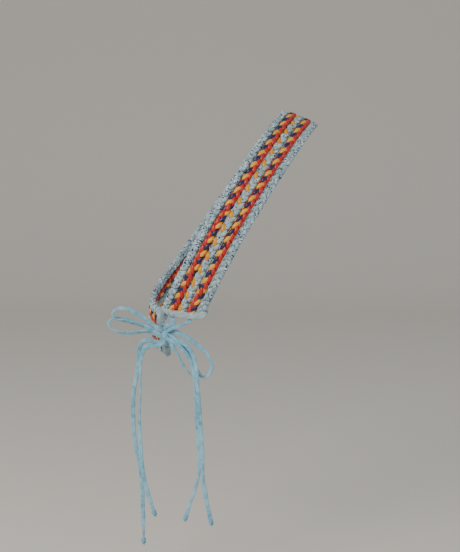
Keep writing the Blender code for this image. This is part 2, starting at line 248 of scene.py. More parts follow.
@dataclass
class Shell:
    """Points, faces and cloth coordinates of closed forms.

    Attributes:
        points: One row for each point.
        faces: The numbers of each face's points.
        cloth: One row for each corner of each face, in units of the cloth map.
    """

    points: np.ndarray
    faces: list[list[int]]
    cloth: np.ndarray

    @classmethod
    def tube(
        cls, rings: np.ndarray, girth: float, run: np.ndarray, closed: bool = False
    ) -> "Shell":
        """A tube through rings of points, with filled ends unless it closes on itself.

        Args:
            rings: Places, by ring and by point.
            girth: The cloth's width once round a ring, in metres.
            run: The cloth's length up to each ring, and to the first again on a closed tube.
            closed: Whether the last ring joins the first.

        Returns:
            The tube, with its faces outwards.
        """
        count, sides, _ = rings.shape
        rows = count if closed else count - 1
        number = np.arange(count * sides).reshape(count, sides)
        here, ahead = number[:rows], number[(np.arange(rows) + 1) % count]
        quads = np.stack([here, np.roll(here, -1, 1), np.roll(ahead, -1, 1), ahead], -1)
        around = np.linspace(0.0, girth, sides + 1) / CLOTH_UNIT
        length = run / CLOTH_UNIT
        cloth = np.empty((rows, sides, 4, 2))
        cloth[..., 0, 0] = cloth[..., 3, 0] = around[:-1]
        cloth[..., 1, 0] = cloth[..., 2, 0] = around[1:]
        cloth[..., 0, 1] = cloth[..., 1, 1] = length[:rows, None]
        cloth[..., 2, 1] = cloth[..., 3, 1] = length[1 : rows + 1, None]
        quads, cloth = quads.reshape(-1, 4), cloth.reshape(-1, 4, 2)
        points = rings.reshape(-1, 3)
        a, b, c, d = (points[quads[:, corner]] - points[0] for corner in range(4))
        volume = np.sum(np.cross(a, b) * c) + np.sum(np.cross(a, c) * d)
        caps = [] if closed else [number[0][::-1], number[-1]]
        if volume < 0:
            quads, cloth = quads[:, ::-1], cloth[:, ::-1]
            caps = [cap[::-1] for cap in caps]
        flat = [np.column_stack([around[:-1], np.full(sides, length[0])]) for _ in caps]
        return cls(
            points,
            quads.tolist() + [cap.tolist() for cap in caps],
            np.vstack([cloth.reshape(-1, 2), *flat]),
        )

    @classmethod
    def merged(cls, shells: list["Shell"]) -> "Shell":
        """Several shells as one."""
        starts = np.cumsum([0] + [len(shell.points) for shell in shells])
        faces = [
            [int(start) + corner for corner in face]
            for start, shell in zip(starts, shells)
            for face in shell.faces
        ]
        points = np.vstack([shell.points for shell in shells])
        return cls(points, faces, np.vstack([shell.cloth for shell in shells]))

    def piece(
        self, name: str, finish: bpy.types.Material, slot: Slot, *nodes: str
    ) -> bpy.types.Object:
        """The shell as a piece of the belt that stands for the given solids.

        Args:
            name: The piece's name.
            finish: Its material.
            slot: The record's material slot; not used.
            *nodes: The solids that it stands for.

        Returns:
            The new object.
        """
        mesh = bpy.data.meshes.new(name)
        mesh.from_pydata(self.points.tolist(), [], self.faces)
        mesh.uv_layers.new(name=CLOTH_MAP).data.foreach_set("uv", self.cloth.ravel())
        mesh.polygons.foreach_set("use_smooth", [len(face) == 4 for face in self.faces])
        mesh.materials.append(finish)
        piece = bpy.data.objects.new(name, mesh)
        bpy.context.scene.collection.objects.link(piece)
        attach(piece, BODY)
        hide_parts(*nodes)
        log.info("%s: %d faces", name, len(self.faces))
        return piece


def linear(colour: str) -> tuple[float, float, float, float]:
    """An sRGB hex colour as linear light."""
    shares = [int(colour[start : start + 2], 16) / 255 for start in (1, 3, 5)]
    light = [s / 12.92 if s <= 0.04045 else ((s + 0.055) / 1.055) ** 2.4 for s in shares]
    return (*light, 1.0)


def add_node(
    tree: bpy.types.NodeTree,
    kind: str,
    settings: dict[str | int, Any] | None = None,
    links: dict[str | int, bpy.types.NodeSocket] | None = None,
) -> bpy.types.Node:
    """Adds a node with its settings and links.

    Args:
        tree: The node tree to add it to.
        kind: The node's type.
        settings: Its own properties by name, and inputs by their name or number.
        links: What is linked to its inputs, by their name or number.

    Returns:
        The new node.
    """
    node = tree.nodes.new(kind)
    for key, value in (settings or {}).items():
        if isinstance(key, str) and hasattr(node, key):
            setattr(node, key, value)
        else:
            node.inputs[key].default_value = value
    for key, socket in (links or {}).items():
        tree.links.new(socket, node.inputs[key])
    return node


def banded(
    tree: bpy.types.NodeTree, value: bpy.types.NodeSocket, low: float, high: float
) -> bpy.types.NodeSocket:
    """A value spread from 0 at one level to 1 at another."""
    settings = {"interpolation_type": "SMOOTHSTEP", 1: low, 2: high}
    return add_node(tree, "ShaderNodeMapRange", settings, {0: value}).outputs[0]


def blended(
    tree: bpy.types.NodeTree,
    share: bpy.types.NodeSocket,
    low: bpy.types.NodeSocket | str,
    high: bpy.types.NodeSocket | str,
) -> bpy.types.NodeSocket:
    """One colour where the share is 0 and another where it is 1."""
    settings: dict[str | int, Any] = {"data_type": "RGBA"}
    links = {0: share}
    for key, colour in ((6, low), (7, high)):
        if isinstance(colour, str):
            settings[key] = linear(colour)
        else:
            links[key] = colour
    return add_node(tree, "ShaderNodeMix", settings, links).outputs[2]


@dataclass(frozen=True)
class Cotton:
    """Plain-woven cotton: matte, with a thread relief that breaks up the light.

    Attributes:
        name: The material's name.
        light: Its paler colour: in random dye patches on cotton, and as a painted highlight on the
            raised ribs of satin.
        dark: Its colour elsewhere.
        roughness: The share of gloss that is spread.
        sheen: The faint light edge that loose fibres give it.
        thread: Thread spacing, drawn about twice as coarse as the real one so that it shows.
        relief: How high the threads stand.
    """

    name: str
    light: str
    dark: str
    roughness: float = 0.86
    sheen: float = 0.22
    thread: float = 0.8 * MM
    relief: float = 0.10 * MM

    def colouring(
        self, tree: bpy.types.NodeTree, cloth: bpy.types.NodeSocket
    ) -> bpy.types.NodeSocket:
        """Uneven dye: soft patches about 12 mm across."""
        noise = add_node(
            tree, "ShaderNodeTexNoise", {"Scale": 8.0, "Detail": 4.0}, {"Vector": cloth}
        )
        return blended(tree, banded(tree, noise.outputs[0], 0.35, 0.65), self.dark, self.light)

    def height(
        self, tree: bpy.types.NodeTree, cloth: bpy.types.NodeSocket
    ) -> bpy.types.NodeSocket:
        """Threads that cross, from 0 to 1."""
        scale = WAVE_REPEAT * CLOTH_UNIT / self.thread
        bands = [
            add_node(
                tree,
                "ShaderNodeTexWave",
                {"bands_direction": way, "Scale": scale, "Distortion": 0.6, "Detail": 1.0},
                {"Vector": cloth},
            ).outputs[1]
            for way in ("X", "Y")
        ]
        return add_node(
            tree, "ShaderNodeMath", {"operation": "MULTIPLY"}, {0: bands[0], 1: bands[1]}
        ).outputs[0]

    def material(self) -> bpy.types.Material:
        """The finished material."""
        finish = bpy.data.materials.new(self.name)
        finish.use_nodes = True
        tree = finish.node_tree
        shader = tree.nodes["Principled BSDF"]
        shader.inputs["Roughness"].default_value = self.roughness
        shader.inputs["Sheen Weight"].default_value = self.sheen
        shader.inputs["Sheen Roughness"].default_value = 0.5
        shader.inputs["IOR"].default_value = 1.5
        cloth = add_node(tree, "ShaderNodeUVMap", {"uv_map": CLOTH_MAP}).outputs[0]
        tree.links.new(self.colouring(tree, cloth), shader.inputs["Base Color"])
        bump = add_node(
            tree,
            "ShaderNodeBump",
            {"Strength": 1.0, "Distance": self.relief},
            {"Height": self.height(tree, cloth)},
        )
        tree.links.new(bump.outputs[0], shader.inputs["Normal"])
        return finish


@dataclass(frozen=True)
class PrintedCotton(Cotton):
    """Cotton with a printed sprinkle of dark and pale specks, thicker in some places.

    Attributes:
        speck: The dark specks' colour.
        pale: The pale specks' colour.
        cover: How much of the cloth has dark specks, from 0 to 1.
        spacing: How far apart the specks are.
    """

    speck: str = "#141C4C"
    pale: str = "#D5E2E6"
    cover: float = 0.5
    spacing: float = 2.4 * MM

    def colouring(
        self, tree: bpy.types.NodeTree, cloth: bpy.types.NodeSocket
    ) -> bpy.types.NodeSocket:
        """The dye with pale and then dark specks over it."""
        colour = super().colouring(tree, cloth)
        patches = add_node(
            tree, "ShaderNodeTexNoise", {"Scale": 11.0, "Detail": 2.0}, {"Vector": cloth}
        ).outputs[0]
        level = 0.72 - 0.44 * self.cover
        thick = banded(tree, patches, level - 0.05, level + 0.05)
        for tint, spacing, size in (
            (self.pale, 1.3 * self.spacing, 0.30),
            (self.speck, self.spacing, 0.36),
        ):
            spots = add_node(
                tree, "ShaderNodeTexVoronoi", {"Scale": CLOTH_UNIT / spacing}, {"Vector": cloth}
            ).outputs[0]
            spot = banded(tree, spots, size + 0.06, size - 0.06)
            where = add_node(tree, "ShaderNodeMath", {"operation": "MULTIPLY"}, {0: spot, 1: thick})
            colour = blended(tree, where.outputs[0], colour, tint)
        return colour


@dataclass(frozen=True)
class Satin(Cotton):
    """Polyester satin cut in strips: long floating threads that catch a soft streak of light."""

    roughness: float = 0.36
    sheen: float = 0.10
    relief: float = 0.16 * MM

    def colouring(
        self, tree: bpy.types.NodeTree, cloth: bpy.types.NodeSocket
    ) -> bpy.types.NodeSocket:
        """Painted highlight streaks along the strip: the raised ribs take the paler colour."""
        # painted highlight: the paler colour follows the raised ribs
        return blended(
            tree, banded(tree, self.height(tree, cloth), 0.3, 0.7), self.dark, self.light
        )

    def height(
        self, tree: bpy.types.NodeTree, cloth: bpy.types.NodeSocket
    ) -> bpy.types.NodeSocket:
        """Fine ribs along the strip, about 1 mm apart."""
        long = add_node(
            tree, "ShaderNodeMapping", {"Scale": (90.0, 9.0, 1.0)}, {"Vector": cloth}
        ).outputs[0]
        return add_node(
            tree, "ShaderNodeTexNoise", {"Scale": 1.0, "Detail": 3.0}, {"Vector": long}
        ).outputs[0]


@dataclass
class SashLine:
    """The sash's middle line, and places beside it and above it.

    Attributes:
        reach: How far the sash reaches sideways from the shoulder.
        depth: Half its depth from front to back.
        drop: How far it drops from the shoulder.
        braid_width: One braid's width.
        braid_thickness: One braid's thickness.
        cross_radius: The round of the body across the sash.
        shear: The slant of its two ends.
        flatness: How flat the round of the body is, seen from above.
    """

    reach: float = 0.224
    depth: float = 0.115
    drop: float = 0.310
    braid_width: float = 0.0122
    braid_thickness: float = 0.0090
    cross_radius: float = 0.120
    shear: float = math.radians(33.0)
    flatness: float = 0.64
    length: float = field(init=False)

    def __post_init__(self) -> None:
        """Works out the line and its directions at every millimetre."""
        rows = np.array(LAY) * (-self.reach, self.depth, -self.drop, 1.0)
        rows[:, 2] += self.braid_thickness / 2
        line = smooth_curve(rows)
        self.points, self.spreads, self.runs = line[:, :3], line[:, 3], run_along(line)
        front, back = (
            self.runs[np.argmin(np.linalg.norm(self.points - rows[row, :3], axis=1))]
            for row in (1, -2)
        )
        self.length = back - front
        self.runs = self.runs - front
        self.core = np.array(HOLLOW) * (-self.reach, self.depth, -self.drop)
        self.marks = np.arange(-0.022, self.length + 0.022, MM)
        step = 0.006
        self.middles = self.middle(self.marks)
        along = unit(self.middle(self.marks + step) - self.middle(self.marks - step))
        away = sum(self.outward(self.middle(self.marks + move)) for move in (-step, 0.0, step))
        self.across = unit(np.cross(along, away))
        self.away = np.cross(self.across, along)

    def middle(self, run: np.ndarray) -> np.ndarray:
        """The middle line's points at distances from the front end."""
        return np.column_stack([np.interp(run, self.runs, column) for column in self.points.T])

    def outward(self, points: np.ndarray) -> np.ndarray:
        """The directions away from the hollow's core, flattened as a body is."""
        aways = []
        for start, end in zip(self.core, self.core[1:]):
            axis = end - start
            share = np.clip((points - start) @ axis / (axis @ axis), 0.0, 1.0)
            aways.append(points - start - share[:, None] * axis)
        far = [np.linalg.norm(away, axis=1)[:, None] for away in aways]
        return unit(np.where(far[1] < far[0], aways[1], aways[0]) * (self.flatness, 1.0, 1.0))

    def place(
        self, run: np.ndarray, offset: np.ndarray | float, lift: np.ndarray | float
    ) -> np.ndarray:
        """Places beside the middle line, on the round of the body.

        Args:
            run: Distances along the line from its front end.
            offset: Distances to the side, towards the arm.
            lift: Distances outwards.

        Returns:
            The places, in the frame of the part.
        """
        run, offset, lift = np.broadcast_arrays(run, offset, lift)
        point, across, away = (
            np.stack([np.interp(run, self.marks, column) for column in table.T], axis=-1)
            for table in (self.middles, self.across, self.away)
        )
        turn = offset / self.cross_radius
        far = self.cross_radius + lift
        side = unit(across) * (far * np.sin(turn))[..., None]
        return point + side + unit(away) * (far * np.cos(turn) - self.cross_radius)[..., None]

    def spread(self, run: np.ndarray | float) -> np.ndarray:
        """The share of its full width that the sash has at a distance."""
        return np.interp(run, self.runs, self.spreads)

    def end_run(self, end: End, offset: np.ndarray | float) -> np.ndarray | float:
        """Where a sheared end lies at an offset from the middle line."""
        start = 0.0 if end is End.FRONT else self.length
        return start + offset * math.tan(self.shear)


@dataclass
class RoundBraid:
    """A round braid of four cloth strands: two turn one way and two the other.

    Attributes:
        name: The solid that it stands for.
        place: Its place in the sash, from -2 at the neck side to 2 at the arm side.
        strands: The four strands' names and finishes, first the pair that lies over the left.
        slot: The record's material slot.
        plait: Which way its lumps lean.
        phase: Where its turn starts, in turns.
        rolls: How far it is rolled about its own line, as rows of distance and degrees.
        turn: The length in which a strand goes round once.
        radius: The strands' mean distance from the braid's own line.
        swing: How much further out a strand is where it lies over, and further in where under.
        half_width: Half a strand's width.
        half_thickness: Half a strand's thickness.
        tuck: How far the strands go into the bindings.
        step: How far apart a strand's rings are.
        sides: The points in a ring.
        lay_rise: How far outside its mean distance a strand's slant is measured.
        wider: How much wider than round the braid is.
        flatter: How much flatter than round it is.
        cup: How far a strand's edges bend in round the braid.
        crease: The depth of the long fold near a strand's middle.
        edge_crease: The depth of the one near its edge.
        wrinkle: The height of its small wrinkles.
        girth: The cloth's width once round a strand.
    """

    name: str
    place: int
    strands: tuple[tuple[str, Cotton], ...]
    slot: Slot
    plait: Plait
    phase: float = 0.0
    rolls: tuple[tuple[float, float], ...] = ((0.0, 0.0),)
    turn: float = 0.0225
    radius: float = 2.75 * MM
    swing: float = 1.25 * MM
    half_width: float = 3.7 * MM
    half_thickness: float = 1.75 * MM
    tuck: float = 3.5 * MM
    step: float = 1.15 * MM
    sides: int = 16
    lay_rise: float = 0.8 * MM
    wider: float = 1.17
    flatter: float = 0.90
    cup: float = 0.75 * MM
    crease: float = 0.42 * MM
    edge_crease: float = 0.25 * MM
    wrinkle: float = 0.10 * MM
    girth: float = 17 * MM

    def strand(self, sash: SashLine, number: int) -> Shell:
        """One strand, from inside the front binding to inside the back one.

        Args:
            sash: The sash that the braid lies in.
            number: The strand's number, from 0 to 3.

        Returns:
            The strand's shell.
        """
        seed = 10 * (self.place + 3) + number
        middle = self.place * sash.braid_width
        start = sash.end_run(End.FRONT, middle * sash.spread(0.0))
        stop = sash.end_run(End.BACK, middle * sash.spread(sash.length))
        run = np.arange(start - self.tuck, stop + self.tuck, self.step)[:, None]
        angle = ring_angles(self.sides)
        # The first pair turns one way, the second the other
        over_left = 1 if number < 2 else -1
        way = over_left * self.plait.value
        flat_radius = self.radius + self.lay_rise
        slope = math.atan(math.tau * flat_radius / self.turn)
        wide = 1 + 0.07 * ripple(run, (0.019, 0.031, 0.047), seed)
        side = self.half_width * wide * np.cos(angle)
        roll = np.radians(np.interp(run, *np.array(self.rolls).T))
        theta = way * math.tau * (run / self.turn + self.phase) + math.pi * (number % 2)
        theta = theta + math.pi / 4 + roll + side * math.cos(slope) / flat_radius
        over = over_left * np.cos(2 * (theta - roll - 0.75 * math.pi))
        top = np.sin(angle) > 0
        thick = self.half_thickness * (1 + 0.08 * ripple(run, (0.013, 0.029), seed + 50))
        rise = thick * (1 + 0.10 * over) * squared_off(np.sin(angle), 0.8)
        fold = 1.3 * MM * ripple(run, (0.023, 0.041), seed + 100)
        rise = rise - top * self.crease * groove(side, fold, 0.5 * MM)
        rise = rise - top * self.edge_crease * groove(side, fold - 2.0 * MM, 0.4 * MM)
        wrinkles = ripple(run + 0.6 * side, (0.0041, 0.0057), seed + 150)
        rise = rise + top * self.wrinkle * wrinkles
        out = self.radius + self.swing * over - self.cup * np.cos(angle) ** 2 + rise
        along = run - way * side * math.sin(slope)
        aside = out * np.cos(theta) * self.wider * sash.spread(along)
        near_end = np.minimum(along - start, stop - along) / self.turn
        lean = np.clip(1 - near_end, 0.0, 1.0) * math.tan(sash.shear)
        offset = middle * sash.spread(along) + aside
        rings = sash.place(along + lean * aside, offset, out * np.sin(theta) * self.flatter)
        return Shell.tube(rings, self.girth, (run[:, 0] - start) / math.cos(slope))

    def build(self, sash: SashLine, finishes: dict[str, bpy.types.Material]) -> None:
        """Makes the four strands, which together stand for the braid's solid."""
        for number, (label, cloth) in enumerate(self.strands):
            shell = self.strand(sash, number)
            shell.piece(
                f"{self.name}_{label}_strand", finishes[cloth.name], self.slot, self.name
            )


@dataclass
class EndBinding:
    """Folded cotton sewn over the braid ends, puckered where the stitches pull it down.

    Attributes:
        end: The sash's end that it covers.
        depth: Its depth along the braids.
        thickness: Its thickness over them.
        overhang: How far it goes past the outer braids.
        stitch: One stitch's length.
        stitch_gap: The gap from a stitch to the next.
        rounding: The share of its half length over which each end rounds off.
        closed_to: The share of its section that is left at the very end.
    """

    end: End
    depth: float = 12.5 * MM
    thickness: float = 10.4 * MM
    overhang: float = 2.0 * MM
    stitch: float = 2.4 * MM
    stitch_gap: float = 1.5 * MM
    rounding: float = 0.045
    closed_to: float = 0.12

    # How the fold's depth and thickness change along it, in shares
    FOLDS = (
        (-1.00, 0.80, 0.74), (-0.93, 0.92, 0.90), (-0.60, 1.00, 1.00), (-0.30, 0.93, 0.95),
        (0.00, 0.98, 1.00), (0.32, 0.94, 0.96), (0.62, 1.04, 1.00), (0.93, 1.02, 0.92),
        (1.00, 0.90, 0.78),
    )

    def half(self, sash: SashLine) -> float:
        """Half of the binding's length."""
        spread = sash.spread(sash.end_run(self.end, 0.0))
        return 2.5 * sash.braid_width * spread + self.overhang

    def surface(
        self, sash: SashLine, share: np.ndarray, turn: np.ndarray, proud: float = 0.0
    ) -> np.ndarray:
        """Places on the binding.

        Args:
            sash: The sash that it ends.
            share: Places along it, from -1 to 1.
            turn: Angles round its section; 0 is the side that the braids come out of.
            proud: How far off the cloth the places are.

        Returns:
            The places, in the frame of the part.
        """
        share, turn = np.broadcast_arrays(share, turn)
        half = self.half(sash)
        offset = share * half
        at, deeps, thicks = np.array(self.FOLDS).T
        past = (np.abs(share) - (1 - self.rounding)) / self.rounding
        close = np.sqrt(1 - np.clip(past, 0.0, 1.0) ** 2)
        close = self.closed_to + (1 - self.closed_to) * close
        cosine, sine = np.cos(turn), np.sin(turn)
        deep = (1 - squared_off(cosine, 0.6) * close) / 2
        high = squared_off(sine, 0.62) / 2
        pull = np.cos(math.tau * offset / (sash.braid_width * sash.spread(0.0)))
        mouth = np.clip(1 - deep / 0.5, 0.0, 1.0)
        seed = 300 + self.end.value
        pucker = 0.05 * pull + 0.045 * ripple(offset, (0.0051, 0.0083, 0.0127), seed)
        hem = 0.05 * groove(deep, 0.07, 0.09) - 0.09 * groove(deep, 0.24, 0.05)
        size = self.thickness * np.interp(share, at, thicks) * close
        lift = high * size * (1 + (0.4 + mouth) * pucker + hem) + np.sign(sine) * proud
        lip = 1.3 * MM * mouth * np.abs(high) * (1 + 0.5 * ripple(offset, (0.006, 0.011), seed + 5))
        ragged = 0.35 * MM * ripple(offset, (0.0047, 0.0091), seed + 9) * deep
        depth = self.depth * np.interp(share, at, deeps) + ragged
        run = sash.end_run(self.end, offset) + self.end.value * (deep * depth - lip)
        return sash.place(run, offset, lift)

    def build(
        self, sash: SashLine, cotton: bpy.types.Material, thread: bpy.types.Material
    ) -> None:
        """Makes the folded cloth and its two rows of stitches."""
        name = f"end_binding_{self.end.name.lower()}"
        share = np.linspace(-1.0, 1.0, 181)
        turn = np.linspace(0.0, math.tau, 44, endpoint=False)
        rings = self.surface(sash, share[:, None], turn)
        run = (share + 1) * self.half(sash)
        Shell.tube(rings, 40 * MM, run).piece(f"{name}_cloth", cotton, Slot.BINDING, name)
        model = stitch_model()
        pitch = (self.stitch + self.stitch_gap) / self.half(sash)
        shells = []
        for side in (1.0, -1.0):
            for number, start in enumerate(np.arange(-0.93, 0.92 - pitch, pitch)):
                angle = side * (1.07 + 0.03 * math.sin(2.1 * number))
                stop = start + self.stitch / self.half(sash)
                ends = self.surface(sash, np.array((start, stop)), np.array((angle, angle)))
                out = self.surface(
                    sash, np.array((start + stop) / 2), np.array(angle), proud=1.0 * MM
                )
                middle = ends.mean(axis=0)
                long = unit(ends[1] - ends[0])
                up = unit((out - middle) - long * np.dot(out - middle, long))
                axes = np.array((long * self.stitch, np.cross(up, long) * 0.5 * MM, up * 0.4 * MM))
                shells.append(
                    Shell(model.points @ axes + middle + up * 0.12 * MM, model.faces, model.cloth)
                )
        Shell.merged(shells).piece(f"{name}_stitches", thread, Slot.BINDING)


def stitch_model() -> Shell:
    """One stitch a unit long, wide and high, whose ends dive into the cloth."""
    bpy.ops.object.select_all(action="DESELECT")
    bpy.ops.mesh.primitive_cube_add(size=1.0)
    stitch = bpy.context.object
    bpy.ops.object.mode_set(mode="EDIT")
    bpy.ops.mesh.select_all(action="SELECT")
    bpy.ops.mesh.subdivide(number_cuts=2)
    bpy.ops.object.mode_set(mode="OBJECT")
    for vertex in stitch.data.vertices:
        x, y, z = vertex.co
        drop = 1.1 * (abs(x) > 0.4)
        narrow = 0.6 if abs(x) > 0.4 else 1.0
        round_off = 0.8 if abs(y) > 0.4 and abs(z) > 0.4 else 1.0
        vertex.co = (x, y * narrow * round_off, z * narrow * round_off - drop)
    points = np.array([vertex.co for vertex in stitch.data.vertices])
    faces = [list(face.vertices) for face in stitch.data.polygons]
    corners = sum(len(face) for face in faces)
    mesh = stitch.data
    bpy.data.objects.remove(stitch, do_unlink=True)
    bpy.data.meshes.remove(mesh)
    return Shell(points, faces, np.zeros((corners, 2)))


@dataclass
class Strap:
    """A tie: a cotton tape folded lengthwise into two soft rolls with a groove between them.

    Attributes:
        half_width: Half its width where it lies open.
        half_thickness: Half its thickness there.
        seed: Sets how uneven it is.
        gathers: The ends, 0 and 1, where it is drawn together.
    """

    half_width: float = 3.2 * MM
    half_thickness: float = 1.25 * MM
    seed: int = 0
    gathers: tuple[int, ...] = (0,)

    def shell(self, line: np.ndarray, facing: tuple[float, ...]) -> Shell:
        """The tape along a line.

        Args:
            line: Evenly spaced places.
            facing: Degrees from face-on to the front, evenly spread along the line.

        Returns:
            The tape's shell.
        """
        run = run_along(line)[:, None]
        along = unit(np.gradient(line, axis=0))
        front = np.array((0.0, -1.0, 0.0))
        face = unit(front - along * (along @ front)[:, None])
        edge = np.cross(along, face)
        places = np.linspace(0.0, run[-1, 0], len(facing))
        turn = np.radians(np.interp(run, places, facing))
        turn = turn + 0.16 * ripple(run, (0.037, 0.061), self.seed)
        up = np.cos(turn) * face + np.sin(turn) * edge
        across = np.cross(along, up)
        gather = sum(np.exp(-np.abs(run - end * run[-1]) / (9 * MM)) for end in self.gathers)
        angle = ring_angles(24)
        cosine, sine = np.cos(angle), np.sin(angle)
        wide = self.half_width * (1 - 0.30 * gather)
        wide = wide * (1 + 0.08 * ripple(run, (0.017, 0.029, 0.043), self.seed + 1))
        thick = self.half_thickness * (1 + 0.45 * gather)
        side = wide * squared_off(cosine, 0.85)
        rise = thick * squared_off(sine, 0.75)
        middle = 0.5 * MM * ripple(run, (0.021, 0.047), self.seed + 2)
        dent = 0.62 * groove(side, middle, 0.75 * MM) + 0.22 * groove(
            side, middle + 1.9 * MM, 0.35 * MM
        )
        rise = rise * (1 - dent)
        curl = 0.5 * MM * ripple(run, (0.015, 0.033), self.seed + 3) * side / wide
        crease = 0.12 * MM * ripple(run + 0.8 * side, (0.0043, 0.0071), self.seed + 4)
        rise = rise + curl + crease * (sine > 0)
        rings = line[:, None, :] + across[:, None, :] * side[..., None]
        return Shell.tube(rings + up[:, None, :] * rise[..., None], 15 * MM, run[:, 0])


@dataclass(frozen=True)
class Wrap:
    """One turn of tape round a knot.

    Attributes:
        lift: Its height above the knot's middle.
        tilt: Its slant seen from the front, in degrees.
        lean: Its slant seen from the side, in degrees.
        side: Its half width to the tape's middle.
        front: Its half depth to the tape's middle.
        half_width: Half the tape's width.
        half_thickness: Half the tape's thickness.
    """

    lift: float
    tilt: float
    lean: float
    side: float
    front: float
    half_width: float
    half_thickness: float

    def shell(self, centre: np.ndarray, axes: np.ndarray, seed: int) -> Shell:
        """The turn of tape round a knot.

        Args:
            centre: The knot's middle.
            axes: The knot's side, front and up directions.
            seed: Sets how uneven the tape is.

        Returns:
            The turn's shell, closed on itself.
        """
        turn = np.linspace(0.0, math.tau, 72, endpoint=False)[:, None]
        tilt, lean = math.radians(self.tilt), math.radians(self.lean)
        slant = np.array(
            (
                (math.cos(tilt), 0.0, math.sin(tilt)),
                (math.sin(tilt) * math.sin(lean), math.cos(lean), -math.cos(tilt) * math.sin(lean)),
                (-math.sin(tilt) * math.cos(lean), math.sin(lean), math.cos(tilt) * math.cos(lean)),
            )
        )
        angle = ring_angles(20)
        waves = 1 + 0.10 * np.sin(2 * turn + seed) + 0.05 * np.sin(5 * turn + 2 * seed)
        high = self.half_width * waves * np.cos(angle)
        rise = self.half_thickness * squared_off(np.sin(angle), 0.75)
        dent = 0.45 * groove(high, 0.5 * MM * np.sin(3 * turn + seed), 0.12 * self.half_width)
        dent = dent + 0.25 * groove(high, 0.5 * self.half_width, 0.10 * self.half_width)
        out = rise * (1 - dent * (np.sin(angle) > 0)) - 0.7 * MM * np.cos(angle) ** 2
        local = np.stack(
            [
                (self.side + out) * np.cos(turn),
                (self.front + out) * np.sin(turn),
                high + 0.4 * MM * np.sin(2 * turn + 1.0),
            ],
            axis=-1,
        )
        local = local @ slant + (0.0, 0.0, self.lift)
        length = math.pi * (self.side + self.front)
        marks = np.linspace(0.0, length, len(turn) + 1)
        return Shell.tube(local @ axes + centre, 15 * MM, marks, closed=True)


@dataclass
class Knot:
    """A knot of tape: turns round a soft core.

    Attributes:
        centre: Its middle.
        up: The direction of the tape that goes into it.
        wraps: Its turns of tape.
        core: The core's half width, half depth and half height.
        seed: Sets how uneven it is.
    """

    centre: np.ndarray
    up: np.ndarray
    wraps: tuple[Wrap, ...]
    core: tuple[float, float, float]
    seed: int

    def axes(self) -> np.ndarray:
        """The knot's side, front and up directions."""
        side = unit(np.cross((0.0, 1.0, 0.0), self.up))
        return np.array((side, -np.cross(self.up, side), self.up))

    def shells(self) -> list[Shell]:
        """The core and the turns."""
        level = np.sin(np.linspace(-1.45, 1.45, 15))[:, None]
        turn = np.linspace(0.0, math.tau, 24, endpoint=False)
        girth = np.sqrt(1 - level**2) * (1 + 0.05 * np.sin(3 * turn + self.seed))
        parts = (girth * np.cos(turn), girth * np.sin(turn), level + 0 * turn)
        local = np.stack(parts, axis=-1) * self.core
        core = Shell.tube(
            local @ self.axes() + self.centre, 20 * MM, (level[:, 0] + 1) * self.core[2]
        )
        wraps = [
            wrap.shell(self.centre, self.axes(), self.seed + number)
            for number, wrap in enumerate(self.wraps)
        ]
        return [core, *wraps]


BOW_WRAPS = (
    Wrap(2.0 * MM, 14.0, 6.0, 5.5 * MM, 4.7 * MM, 3.9 * MM, 1.6 * MM),
    Wrap(-3.0 * MM, -16.0, -4.0, 5.2 * MM, 4.4 * MM, 3.2 * MM, 1.5 * MM),
    Wrap(-0.2 * MM, 48.0, 0.0, 5.9 * MM, 5.0 * MM, 2.4 * MM, 1.3 * MM),
)
END_WRAPS = (
    Wrap(1.5 * MM, 24.0, 8.0, 2.7 * MM, 2.6 * MM, 2.3 * MM, 1.3 * MM),
    Wrap(-1.6 * MM, -30.0, -6.0, 2.6 * MM, 2.5 * MM, 2.1 * MM, 1.25 * MM),
    Wrap(0.0, 62.0, 0.0, 3.0 * MM, 2.9 * MM, 1.7 * MM, 1.0 * MM),
)


